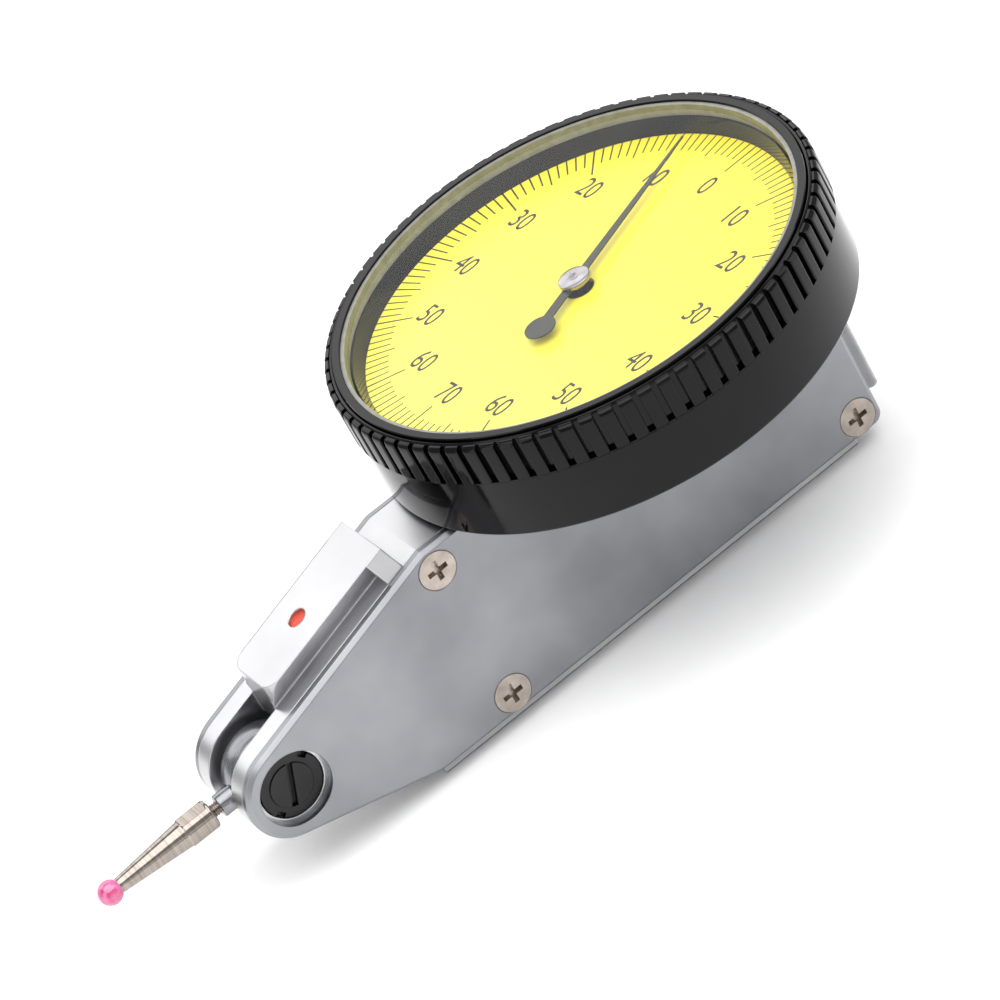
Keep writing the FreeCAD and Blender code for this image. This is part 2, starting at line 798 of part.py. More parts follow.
def hairspring_stud():
    """The post under the frame's roof that holds the hairspring's outer end."""
    foot = hairspring_z - 0.1
    post = cylinder((hairspring_outer + 0.4, 0, foot), (0, 0, 1), 0.35, chamber_top - foot)
    return post.cut(block((0, -1, 0), (hairspring_outer + hairspring_strip, 1, 30)))


def base_screw_spots():
    return [(x, y) for x in (-8.0, 8.0) for y in (-2.2, 2.2)]


def base_floor():
    return drum_bottom + 0.35


def dial_base():
    """The fixed disc that the bezel turns on, with its boss on the body's top."""
    radius = bezel_bore - base_clearance
    floor = base_floor()
    disc = cylinder((0, 0, floor), (0, 0, 1), radius, base_thickness)
    boss = cylinder((0, 0, body_top), (0, 0, 1), 12.0, floor - body_top)
    bush_seat = cylinder((0, 0, floor), (0, 0, 1), 2.6, 2.4)
    base = fused([disc, boss, bush_seat])
    base = base.cut(cylinder((0, 0, 0), (0, 0, 1), centre_hole_radius, 40))
    groove = tube((0, 0, floor + 0.2), (0, 0, 1), radius + 1, radius - 0.5, base_thickness - 0.4)
    base = base.cut(groove)
    for x, y in base_screw_spots():
        base = base.cut(cylinder((x, y, 0), (0, 0, 1), 0.5, 40))
        base = base.cut(cylinder((x, y, floor + base_thickness - 0.4), (0, 0, 1), 0.9, 5))
    return base


def bezel_o_ring():
    radius = bezel_bore - base_clearance
    section = (base_thickness - 0.4) / 2
    middle = base_floor() + base_thickness / 2
    points = []
    for index in range(8):
        angle = math.radians(45 * index + 22.5)
        reach = radius - section + 0.05 + section * math.cos(angle)
        points.append((reach, middle + section * math.sin(angle)))
    return turned(points)


def centre_bush():
    floor = base_floor()
    return tube((0, 0, floor + 1.0), (0, 0, 1), centre_hole_radius, 0.35 + running_gap, 1.6)


def dial_base_screws():
    screws = []
    face = base_floor() + base_thickness
    for x, y in base_screw_spots():
        head = cylinder((x, y, face - 0.4), (0, 0, 1), 0.85, 0.4)
        shank = cylinder((x, y, body_top - 1.3), (0, 0, 1), 0.5, face - 0.4 - body_top + 1.3)
        slot = block((x - 1, y - 0.1, face - 0.2), (x + 1, y + 0.1, face + 1))
        screws.append(head.fuse(shank).cut(slot))
    return Part.Compound(screws)


def dial_face():
    low = dial_height - dial_thickness
    return tube((0, 0, low), (0, 0, 1), dial_radius, centre_hole_radius, dial_thickness)


def dial_retaining_ring():
    low = dial_height - dial_thickness - 0.8
    return tube((0, 0, low), (0, 0, 1), bezel_bore, bezel_bore - 1.0, 0.8)


def bezel_retaining_ring():
    height = base_floor() - drum_bottom - 0.08
    return tube((0, 0, drum_bottom), (0, 0, 1), bezel_bore, bezel_bore - 1.4, height)


def bezel_blank():
    """The bezel before knurling, turned from one profile."""
    base = dial_height
    crystal_floor = base + crystal_top - crystal_thickness
    seat = crystal_radius + gasket_width
    edge = 0.3
    profile = [
        (bezel_bore, drum_bottom),
        (skirt_radius - edge, drum_bottom),
        (skirt_radius, drum_bottom + edge),
        (skirt_radius, base + knurl_bottom - 0.35),
        (bezel_radius, base + knurl_bottom - 0.15),
        (bezel_radius, base + bezel_top - 0.4),
        (bezel_radius - 0.12, base + bezel_top - 0.12),
        (bezel_radius - 0.4, base + bezel_top),
        (bezel_radius - rim_width, base + bezel_top),
        (bezel_radius - rim_width - 0.1, base + bezel_top - 0.15),
        (bezel_radius - rim_width - 0.17, base + ring_top),
        (seat, base + ring_top),
        (seat, crystal_floor),
        (crystal_radius - 0.2, crystal_floor),
        (dial_window, base),
        (dial_radius, base),
        (dial_radius, base - dial_thickness),
        (bezel_bore, base - dial_thickness),
    ]
    return turned(profile)


def bezel_ring():
    """The one-piece bezel with its knurl of flat ribs and narrow grooves."""
    low = dial_height + knurl_bottom
    high = dial_height + knurl_top
    half = knurl_groove_width / 2
    groove = block((bezel_radius - knurl_groove_depth, -half, low), (bezel_radius + 1, half, high))
    grooves = []
    for index in range(knurl_count):
        copy = groove.copy()
        copy.rotate(Vector(0, 0, 0), Vector(0, 0, 1), 360 * index / knurl_count)
        grooves.append(copy)
    return bezel_blank().cut(Part.Compound(grooves))


def crystal():
    low = dial_height + crystal_top - crystal_thickness
    glass = cylinder((0, 0, low), (0, 0, 1), crystal_radius, crystal_thickness)
    rim = [e for e in glass.Edges if abs(e.CenterOfMass.z - low - crystal_thickness) < 1e-6]
    return glass.makeChamfer(0.3, rim)


def crystal_gasket():
    low = dial_height + crystal_top - crystal_thickness
    outer = crystal_radius + gasket_width
    height = ring_top - 0.18 - (crystal_top - crystal_thickness)
    ring = tube((0, 0, low), (0, 0, 1), outer, crystal_radius, height)
    return ring


def pointer_outline():
    """The hand's outline along +X, tail weight included, as a face."""
    weight = cylinder((-pointer_tail, 0, 0), (0, 0, 1), pointer_weight_radius, pointer_thickness)
    collar = cylinder((0, 0, 0), (0, 0, 1), 1.0, pointer_thickness)
    needle = flat_prism(
        [
            (-pointer_tail, -0.45),
            (pointer_reach * 0.55, -0.26),
            (pointer_reach, -0.06),
            (pointer_reach, 0.06),
            (pointer_reach * 0.55, 0.26),
            (-pointer_tail, 0.45),
        ],
        0,
        pointer_thickness,
    )
    return fused([needle, weight, collar])


def pointer_needle():
    needle = pointer_outline().cut(cylinder((0, 0, -1), (0, 0, 1), 0.5, 3))
    needle.rotate(Vector(0, 0, 0), Vector(0, 0, 1), 180 + pointer_angle)
    needle.translate(Vector(0, 0, dial_height + pointer_plane))
    return needle


def pointer_hub():
    low = dial_height + pointer_plane
    high = low + pointer_thickness
    points = [
        (0.35, low - 0.3),
        (0.9, low - 0.3),
        (0.9, low),
        (0.5, low),
        (0.5, high),
        (pointer_hub_radius, high),
        (pointer_hub_radius, high + 0.2),
        (pointer_hub_radius - 0.12, high + 0.32),
        (0.4, high + 0.32),
        (0.0, high + 0.2),
        (0.0, high),
        (0.35, high),
    ]
    return turned(points)


def index_dot():
    return index_dot_seat(index_dot_radius, index_dot_depth, 0.3)


def build():
    cover = side_cover()
    screws = cover_screws()
    screw = pivot_screw()
    nut = pivot_lock_nut()
    save("body_frame", body_frame())
    save("side_cover_left", cover)
    save("side_cover_right", mirrored(cover))
    save("cover_screws_left", screws)
    save("cover_screws_right", mirrored(screws))
    save("pivot_screw_left", screw)
    save("pivot_screw_right", mirrored(screw))
    save("pivot_lock_nut_left", nut)
    save("pivot_lock_nut_right", mirrored(nut))
    save("index_dot", index_dot())
    save("movement_plate_left", movement_plate(True))
    save("movement_plate_right", movement_plate(False))
    save("movement_pillars", movement_pillars())
    save("movement_screws", movement_screws())
    save("crown_jewels", train_jewels(crown_x))
    save("sector_jewels", train_jewels(sector_x))
    save("lower_cock", lower_cock())
    save("cock_jewel", cock_jewel())
    save("hairspring", hairspring())
    save("hairspring_stud", hairspring_stud())
    save("dial_base", dial_base())
    save("dial_base_screws", dial_base_screws())
    save("centre_bush", centre_bush())
    save("bezel_o_ring", bezel_o_ring())
    save("bezel_ring", bezel_ring())
    save("bezel_retaining_ring", bezel_retaining_ring())
    save("dial_face", dial_face())
    save("dial_retaining_ring", dial_retaining_ring())
    save("crystal", crystal())
    save("crystal_gasket", crystal_gasket())
    save("pointer_arbor", pointer_arbor())
    save("pointer_needle", pointer_needle())
    save("pointer_hub", pointer_hub())
    save("hairspring_collet", hairspring_collet())
    save("crown_arbor", crown_arbor())
    save("crown_gear", crown_gear())
    save("sector_gear", sector_gear())
    save("sector_arbor", arbor(sector_x, train_z))
    save("sector_pin", sector_pin())
    save("lever_yoke", lever_yoke())
    save("pivot_shaft", pivot_shaft())
    save("friction_washers", friction_washers())
    save("contact_hub", contact_hub())
    save("stylus", stylus())
    save("ruby_ball", ruby_ball())


build()
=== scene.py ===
import math

import bpy
import bmesh
from mathutils import Matrix, Quaternion, Vector


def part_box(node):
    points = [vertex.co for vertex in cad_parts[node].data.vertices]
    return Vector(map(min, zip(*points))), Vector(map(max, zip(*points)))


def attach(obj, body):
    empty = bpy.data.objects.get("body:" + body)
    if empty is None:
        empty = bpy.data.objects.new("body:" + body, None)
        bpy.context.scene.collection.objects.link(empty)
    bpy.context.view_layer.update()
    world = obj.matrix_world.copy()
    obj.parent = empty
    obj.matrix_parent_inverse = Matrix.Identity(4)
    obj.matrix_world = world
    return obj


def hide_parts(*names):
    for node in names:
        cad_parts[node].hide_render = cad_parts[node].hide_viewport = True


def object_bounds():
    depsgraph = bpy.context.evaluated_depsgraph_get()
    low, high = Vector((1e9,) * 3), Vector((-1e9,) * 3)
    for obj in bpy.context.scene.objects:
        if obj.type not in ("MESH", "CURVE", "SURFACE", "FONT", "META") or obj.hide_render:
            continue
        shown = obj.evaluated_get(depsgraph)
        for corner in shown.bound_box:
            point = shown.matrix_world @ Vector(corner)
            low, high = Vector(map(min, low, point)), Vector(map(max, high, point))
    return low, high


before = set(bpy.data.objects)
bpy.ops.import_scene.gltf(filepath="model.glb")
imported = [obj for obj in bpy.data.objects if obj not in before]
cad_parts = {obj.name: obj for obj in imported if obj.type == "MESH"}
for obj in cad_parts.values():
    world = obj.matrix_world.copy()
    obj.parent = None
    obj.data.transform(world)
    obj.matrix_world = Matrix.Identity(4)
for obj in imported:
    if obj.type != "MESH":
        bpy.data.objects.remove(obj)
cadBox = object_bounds()
mm = 0.001
print("frame loaded:", len(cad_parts), "nodes")

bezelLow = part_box("bezel_ring")[0].z / mm
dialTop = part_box("dial_face")[1].z / mm  # height of the printed face, mm
ballLow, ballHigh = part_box("ruby_ball")
ballCentre = (ballLow + ballHigh) / 2 / mm
hub = {"radius": 3.5, "width": 2.2, "bore": 0.93, "edge": 0.15}
hubLow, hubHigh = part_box("contact_hub")
hubCentre = Vector((hubLow.x / mm + hub["radius"], 0.0, (hubLow.z + hubHigh.z) / 2 / mm))


def srgb(code):
    values = []
    for place in (0, 2, 4):
        value = int(code[place:place + 2], 16) / 255
        values.append(value / 12.92 if value <= 0.04045 else ((value + 0.055) / 1.055) ** 2.4)
    return (*values, 1.0)


def addNode(material, kind, settings=None, links=None):
    tree = material.node_tree if hasattr(material, "node_tree") else material
    node = tree.nodes.new(kind)
    for name, value in (settings or {}).items():
        if isinstance(name, int) or name in node.inputs:
            node.inputs[name].default_value = value
        else:
            setattr(node, name, value)
    for name, source in (links or {}).items():
        tree.links.new(source, node.inputs[name])
    return node


def newMaterial(name, **values):
    material = bpy.data.materials.new(name)
    material.use_nodes = True
    shader = material.node_tree.nodes["Principled BSDF"]
    for key, value in values.items():
        shader.inputs[key.replace("_", " ")].default_value = value
    return material, shader


def link(material, output, socket):
    material.node_tree.links.new(output, socket)


def coordinates(material, scale=(1, 1, 1)):
    place = addNode(material, "ShaderNodeTexCoord")
    mapping = addNode(material, "ShaderNodeMapping", {"Scale": scale}, {"Vector": place.outputs["Object"]})
    return mapping.outputs["Vector"]


def ramp(material, factor, stops):
    node = addNode(material, "ShaderNodeValToRGB", None, {"Fac": factor})
    elements = node.color_ramp.elements
    while len(elements) < len(stops):
        elements.new(0.5)
    for element, (place, colour) in zip(elements, stops):
        element.position = place
        element.color = srgb(colour) if isinstance(colour, str) else (colour, colour, colour, 1)
    return node.outputs["Color"]


# Satin plating over milled and blasted steel: soft highlights, fine even grain, edges rubbed a little brighter.
def satinPlate(name, dark, light, roughness, edgeRadius, grainSize=0.09):
    material, shader = newMaterial(name, Metallic=1.0)
    at = coordinates(material)
    grain = addNode(material, "ShaderNodeTexNoise", {"Scale": 1 / (grainSize * mm), "Detail": 2.0},
                   {"Vector": at})
    cloud = addNode(material, "ShaderNodeTexNoise", {"Scale": 1 / (9 * mm), "Detail": 3.0}, {"Vector": at})
    tone = ramp(material, cloud.outputs["Fac"], [(0.3, dark), (0.7, light)])
    link(material, tone, shader.inputs["Base Color"])
    rough = ramp(material, cloud.outputs["Fac"], [(0.3, roughness - 0.03), (0.7, roughness + 0.04)])
    link(material, rough, shader.inputs["Roughness"])
    edge = addNode(material, "ShaderNodeBevel", {"samples": 8, "Radius": edgeRadius * mm})
    bump = addNode(material, "ShaderNodeBump", {"Strength": 0.12, "Distance": 0.006 * mm},
                   {"Height": grain.outputs["Fac"], "Normal": edge.outputs["Normal"]})
    link(material, bump.outputs["Normal"], shader.inputs["Normal"])
    return material


# Turned or polished steel: fine tool lines about the given axis, sharp reflections.
def turnedSteel(name, dark, light, roughness, lineSize=0.05, axis="X", edgeRadius=0.06):
    material, shader = newMaterial(name, Metallic=1.0)
    stretch = {"X": (1, 0.04, 0.04), "Y": (0.04, 1, 0.04), "Z": (0.04, 0.04, 1)}[axis]
    at = coordinates(material, stretch)
    lines = addNode(material, "ShaderNodeTexNoise", {"Scale": 1 / (lineSize * mm), "Detail": 2.0},
                   {"Vector": at})
    tone = ramp(material, lines.outputs["Fac"], [(0.3, dark), (0.7, light)])
    link(material, tone, shader.inputs["Base Color"])
    rough = ramp(material, lines.outputs["Fac"], [(0.3, roughness - 0.03), (0.7, roughness + 0.05)])
    link(material, rough, shader.inputs["Roughness"])
    edge = addNode(material, "ShaderNodeBevel", {"samples": 6, "Radius": edgeRadius * mm})
    bump = addNode(material, "ShaderNodeBump", {"Strength": 0.1, "Distance": 0.004 * mm},
                   {"Height": lines.outputs["Fac"], "Normal": edge.outputs["Normal"]})
    link(material, bump.outputs["Normal"], shader.inputs["Normal"])
    return material


# Moulded gloss plastic or lacquer: dark body colour, clear sharp gloss, faint waviness from the mould.
def glossPlastic(name, dark, light, roughness, ior=1.5, waveSize=2.5, waveDepth=0.004):
    material, shader = newMaterial(name, IOR=ior)
    at = coordinates(material)
    wave = addNode(material, "ShaderNodeTexNoise", {"Scale": 1 / (waveSize * mm), "Detail": 2.0},
                   {"Vector": at})
    speck = addNode(material, "ShaderNodeTexNoise", {"Scale": 1 / (0.15 * mm), "Detail": 2.0}, {"Vector": at})
    tone = ramp(material, wave.outputs["Fac"], [(0.3, dark), (0.7, light)])
    link(material, tone, shader.inputs["Base Color"])
    rough = ramp(material, speck.outputs["Fac"], [(0.35, roughness), (0.75, roughness + 0.05)])
    link(material, rough, shader.inputs["Roughness"])
    bump = addNode(material, "ShaderNodeBump", {"Strength": 0.25, "Distance": waveDepth * mm},
                   {"Height": wave.outputs["Fac"]})
    link(material, bump.outputs["Normal"], shader.inputs["Normal"])
    return material


# Printed enamel on the dial plate: bright yellow with a very fine orange peel, and painted light and shade, deeper
# yellow towards -X and paler towards +X.
def dialEnamel(name, deep, pale):
    material, shader = newMaterial(name, IOR=1.5)
    place = addNode(material, "ShaderNodeTexCoord")
    apart = addNode(material, "ShaderNodeSeparateXYZ", None, {"Vector": place.outputs["Object"]})
    # Painted light and shade: the yellow runs from the deep (shaded) colour at -X to the pale (lit) colour at +X
    # across the dial.
    paintedLightSlope = addNode(material, "ShaderNodeMath", {"operation": "MULTIPLY_ADD", 1: 12.0, 2: 0.5},
                   {0: apart.outputs["X"]})
    tone = ramp(material, paintedLightSlope.outputs["Value"], [(0.3, deep), (0.72, pale)])
    link(material, tone, shader.inputs["Base Color"])
    peel = addNode(material, "ShaderNodeTexNoise", {"Scale": 1 / (0.2 * mm), "Detail": 3.0},
                   {"Vector": place.outputs["Object"]})
    link(material, ramp(material, peel.outputs["Fac"], [(0.3, 0.32), (0.7, 0.4)]), shader.inputs["Roughness"])
    bump = addNode(material, "ShaderNodeBump", {"Strength": 0.08, "Distance": 0.004 * mm},
                   {"Height": peel.outputs["Fac"]})
    link(material, bump.outputs["Normal"], shader.inputs["Normal"])
    return material


# Synthetic ruby: deep pink body with light let through, a hard polish and fine growth lines.
def rubyStone(name):
    material, shader = newMaterial(name, IOR=1.77, Transmission_Weight=0.35, Coat_Weight=0.3)
    at = coordinates(material, (1, 1, 0.3))
    veil = addNode(material, "ShaderNodeTexNoise", {"Scale": 1 / (0.5 * mm), "Detail": 2.0}, {"Vector": at})
    pink = ramp(material, veil.outputs["Fac"], [(0.25, "D0306F"), (0.75, "F487C4")])
    link(material, pink, shader.inputs["Base Color"])
    link(material, ramp(material, veil.outputs["Fac"], [(0.3, 0.03), (0.7, 0.08)]), shader.inputs["Roughness"])
    return material


# Polished acrylic crystal: nearly invisible, with a soft gloss where it mirrors the lights.
def clearCrystal(name):
    material = bpy.data.materials.new(name)
    material.use_nodes = True
    tree = material.node_tree
    tree.nodes.remove(tree.nodes["Principled BSDF"])
    at = coordinates(material)
    haze = addNode(material, "ShaderNodeTexNoise", {"Scale": 1 / (4 * mm), "Detail": 2.0}, {"Vector": at})
    bump = addNode(material, "ShaderNodeBump", {"Strength": 0.05, "Distance": 0.002 * mm},
                   {"Height": haze.outputs["Fac"]})
    clear = addNode(material, "ShaderNodeBsdfTransparent", {"Color": (0.985, 0.99, 0.985, 1)})
    gloss = addNode(material, "ShaderNodeBsdfGlossy", {"Roughness": 0.04}, {"Normal": bump.outputs["Normal"]})
    fresnel = addNode(material, "ShaderNodeFresnel", {"IOR": 1.3})
    side = addNode(material, "ShaderNodeNewGeometry")
    front = addNode(material, "ShaderNodeMath", {"operation": "SUBTRACT", 0: 1.0},
                    {1: side.outputs["Backfacing"]})
    share = addNode(material, "ShaderNodeMath", {"operation": "MULTIPLY"},
                    {0: fresnel.outputs["Fac"], 1: front.outputs["Value"]})
    mix = addNode(material, "ShaderNodeMixShader", None, {
        0: share.outputs["Value"], 1: clear.outputs["BSDF"], 2: gloss.outputs["BSDF"]})
    link(material, mix.outputs["Shader"], tree.nodes["Material Output"].inputs["Surface"])
    return material


plating = satinPlate("satinNickelPlatedSteel", "B4B4B6", "C8C8CA", 0.30, 0.18)
# Painted shade: the side covers have the frame's satin plating, painted darker to stand for the shade on their
# side faces.
shadedCoverPlating = satinPlate("satinPlatedCoverPaintedShade", "828387", "9A9B9F", 0.32, 0.16)
screwNickel = turnedSteel("nickelPlatedScrew", "A0958C", "BDB2A9", 0.24, axis="Y", edgeRadius=0.08)
blackedSteel = satinPlate("blackedSteel", "2A2929", "3C3B3B", 0.30, 0.08)
polishedSteel = turnedSteel("polishedSteelStem", "8A8078", "AAA29A", 0.10, lineSize=0.3)
hubSteel = turnedSteel("groundSteelHub", "75767A", "96979B", 0.24, axis="Y", edgeRadius=0.1)
handSteel = turnedSteel("polishedHandCap", "8C878C", "B3AFB4", 0.16, axis="Z", edgeRadius=0.05)
brass = turnedSteel("turnedBrass", "B08D3C", "D6B35C", 0.22)
aluminium = satinPlate("bareAluminium", "B4B5B8", "CDCED0", 0.35, 0.08)
bezelGloss = glossPlastic("mouldedGlossBlack", "020202", "060607", 0.07, ior=1.3)
ringGrey = glossPlastic("satinBlackTopRing", "2A2A2B", "343435", 0.32, waveSize=3.0)
gasketGrey = glossPlastic("greyNitrileGasket", "7C7C74", "8E8E86", 0.45, waveSize=0.8)
rubber = glossPlastic("blackNitrileRubber", "141414", "1E1E1E", 0.6, waveSize=0.8)
# Painted reflection: the bezel's black inner cone is tinted olive to stand for the yellow dial mirrored in it.
coneDialReflection = glossPlastic("blackConePaintedDialReflection", "23220F", "33311A", 0.35)
handBlack = glossPlastic("blackLacqueredHand", "080808", "101010", 0.28, waveSize=1.0)
printBlack = glossPlastic("blackPrintInk", "0C0C0A", "161613", 0.42, waveSize=0.6)
dialYellowPaintedLight = dialEnamel("yellowDialEnamelPaintedLight", "F3DF12", "F8EE5A")
redEnamel = glossPlastic("redEnamelFill", "B8331A", "D2482A", 0.35, waveSize=0.5)
ruby = rubyStone("syntheticRuby")
crystalClear = clearCrystal("polishedAcrylicCrystal")
print("materials made")

finishes = {
    "body_frame": plating, "side_cover_left": shadedCoverPlating, "side_cover_right": shadedCoverPlating,
    "cover_screws_left": screwNickel, "cover_screws_right": screwNickel,
    "pivot_screw_left": blackedSteel, "pivot_screw_right": blackedSteel,
    "pivot_lock_nut_left": blackedSteel, "pivot_lock_nut_right": blackedSteel,
    "index_dot": redEnamel, "dial_face": dialYellowPaintedLight, "crystal": crystalClear,
    "crystal_gasket": gasketGrey, "pointer_needle": handBlack, "pointer_hub": handSteel,
    "pointer_arbor": polishedSteel, "bezel_ring": bezelGloss, "bezel_o_ring": rubber,
    "contact_hub": hubSteel, "stylus": polishedSteel, "ruby_ball": ruby, "dial_base": aluminium,
    "lever_yoke": hubSteel, "pivot_shaft": polishedSteel, "bezel_retaining_ring": aluminium,
    "dial_retaining_ring": aluminium, "friction_washers": brass,
}
slotFinish = {
    "plated_steel": plating, "nickel_screw": screwNickel, "black_steel": blackedSteel, "brass": brass,
    "ruby": ruby, "polished_steel": polishedSteel, "black_gloss_plastic": bezelGloss, "rubber": rubber,
    "yellow_dial": dialYellowPaintedLight, "crystal": crystalClear, "red_enamel": redEnamel, "aluminium": aluminium,
}
for name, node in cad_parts.items():
    for place in node.material_slots:
        base = place.material.name.split(".")[0] if place.material else ""
        place.material = finishes.get(name) or slotFinish.get(base) or polishedSteel
print("CAD nodes dressed")


def meshObject(name, mesh, materials, smooth=True):
    thing = bpy.data.objects.new(name, mesh)
    bpy.context.scene.collection.objects.link(thing)
    mesh.materials.clear()
    for material in materials:
        mesh.materials.append(material)
    if smooth:
        mesh.shade_smooth()
    return thing


def turnedMesh(name, points, steps, sharpAngle=28.0, materialAt=None):
    # A closed profile of (radius, height) in mm, turned about Z.
    mesh = bpy.data.meshes.new(name)
    shape = bmesh.new()
    rings = []
    for radius, height in points:
        if radius < 1e-6:
            rings.append([shape.verts.new((0, 0, height * mm))] * steps)
            continue
        rings.append([
            shape.verts.new((radius * mm * math.cos(2 * math.pi * k / steps),
                             radius * mm * math.sin(2 * math.pi * k / steps), height * mm))
            for k in range(steps)])
    pairs = list(zip(range(len(rings)), [*range(1, len(rings)), 0]))
    for low, high in pairs:
        for k in range(steps):
            n = (k + 1) % steps
            corners = [rings[low][k], rings[low][n], rings[high][n], rings[high][k]]
            corners = [c for i, c in enumerate(corners) if c not in corners[:i]]
            if len(corners) > 2:
                face = shape.faces.new(corners)
                face.material_index = (materialAt or {}).get(low, 0)
    bmesh.ops.recalc_face_normals(shape, faces=shape.faces)
    for edge in shape.edges:
        edge.smooth = edge.calc_face_angle(0) < math.radians(sharpAngle)
    shape.to_mesh(mesh)
    shape.free()
    return mesh


bezel = {"ribs": 80, "ribRadius": 20.0, "grooveWidth": 0.5, "grooveDepth": 0.45,
         "grooveLow": dialTop - 1.1, "grooveHigh": dialTop + 1.9, "skirtRadius": 19.7,
         "ribSoft": 0.12, "ribSteps": 4, "steps": 320, "bore": 18.05, "crystalSeat": 18.47, "crystalFloor": 1.3,
         "dialRadius": 17.9, "dialWindow": 17.5, "dialThickness": 0.4, "rimHigh": 2.33, "ringHigh": 2.53,
         "ringRadius": 19.08, "skirtSoft": 0.3}


def bezelPiece():
    top = dialTop
    seat = bezel["crystalSeat"]
    floor = top + bezel["crystalFloor"]
    outer = bezel["ribRadius"]
    core = outer - bezel["grooveDepth"]
    soft = bezel["skirtSoft"]
    skirt = bezel["skirtRadius"]
    low = bezel["grooveLow"]
    high = bezel["grooveHigh"]
    rim = top + bezel["rimHigh"]
    ring = top + bezel["ringHigh"]
    profile = [(bezel["bore"], bezelLow)]
    for k in range(7):
        turn = math.pi / 2 * k / 6
        profile.append((skirt - soft + soft * math.sin(turn), bezelLow + soft - soft * math.cos(turn)))
    # The turned body stops at the groove's floor, and the knurl's ribs stand on it.
    profile += [(skirt, low - 0.35), (skirt + 0.1, low - 0.26), (outer - 0.1, low - 0.16), (outer, low - 0.05),
                (outer, low), (core, low), (core, high - 0.1), (core - 0.02, high + 0.14),
                (core - 0.08, high + 0.32), (core - 0.18, rim), (outer - 0.68, rim), (19.22, rim - 0.04),
                (19.15, rim - 0.15)]
    gloss = len(profile)
    profile += [(19.13, ring - 0.09), (bezel["ringRadius"], ring), (seat + 0.04, ring), (seat, ring - 0.04),
                (seat, floor), (17.95, floor), (bezel["dialWindow"], top), (bezel["dialRadius"], top),
                (bezel["dialRadius"], top - bezel["dialThickness"]), (bezel["bore"], top - bezel["dialThickness"])]
    where = {k: 1 for k in range(gloss - 1, gloss + 4)}  # the satin top ring
    # The cone down to the dial is black bezel plastic with the dial's yellow reflection painted in.
    where.update({gloss + 4: 2, gloss + 5: 2})  # the dark cone down to the dial
    mesh = turnedMesh("bezelBody", profile, bezel["steps"], 24.0, where)
    return meshObject("bezelBody", mesh, [bezelGloss, ringGrey, coneDialReflection])


def ribMesh():
    # One flat rib with softened long edges, from groove to groove, along +X.
    pitch = 2 * math.pi / bezel["ribs"]
    outer = bezel["ribRadius"]
    core = outer - bezel["grooveDepth"] - 0.03
    halfOut = pitch / 2 - bezel["grooveWidth"] / 2 / outer
    soft = bezel["ribSoft"]
    softTurn = soft / outer
    section = [(core, -halfOut)]
    for k in range(bezel["ribSteps"] + 1):
        turn = math.pi / 2 * k / bezel["ribSteps"]
        section.append((outer - soft + soft * math.sin(turn), -halfOut + softTurn - softTurn * math.cos(turn)))
    for k in range(1, 6):
        section.append((outer, -halfOut + softTurn + (2 * halfOut - 2 * softTurn) * k / 6))
    for k in range(bezel["ribSteps"] + 1):
        turn = math.pi / 2 * k / bezel["ribSteps"]
        section.append((outer - soft + soft * math.cos(turn), halfOut - softTurn + softTurn * math.sin(turn)))
    section.append((core, halfOut))
    mesh = bpy.data.meshes.new("knurlRib")
    shape = bmesh.new()
    rows = []
    high = bezel["grooveHigh"]
    for height, pull in ((bezel["grooveLow"] - 0.02, 0.0), (high - 0.15, 0.0), (high + 0.08, 0.05),
                         (high + 0.24, 0.16), (high + 0.33, 0.3)):
        kept = [(min(radius, outer - pull) * mm, turn) for radius, turn in section]
        rows.append([shape.verts.new((r * math.cos(a), r * math.sin(a), height * mm)) for r, a in kept])
    count = len(section)
    for lower, upper in zip(rows, rows[1:]):
        for k in range(count):
            n = (k + 1) % count
            shape.faces.new([lower[k], lower[n], upper[n], upper[k]])
    shape.faces.new(rows[0])
    shape.faces.new(rows[-1])
    bmesh.ops.recalc_face_normals(shape, faces=shape.faces)
    for edge in shape.edges:
        edge.smooth = edge.calc_face_angle(0) < math.radians(50)
    for face in shape.faces:
        face.smooth = True
    shape.to_mesh(mesh)
    shape.free()
    return mesh


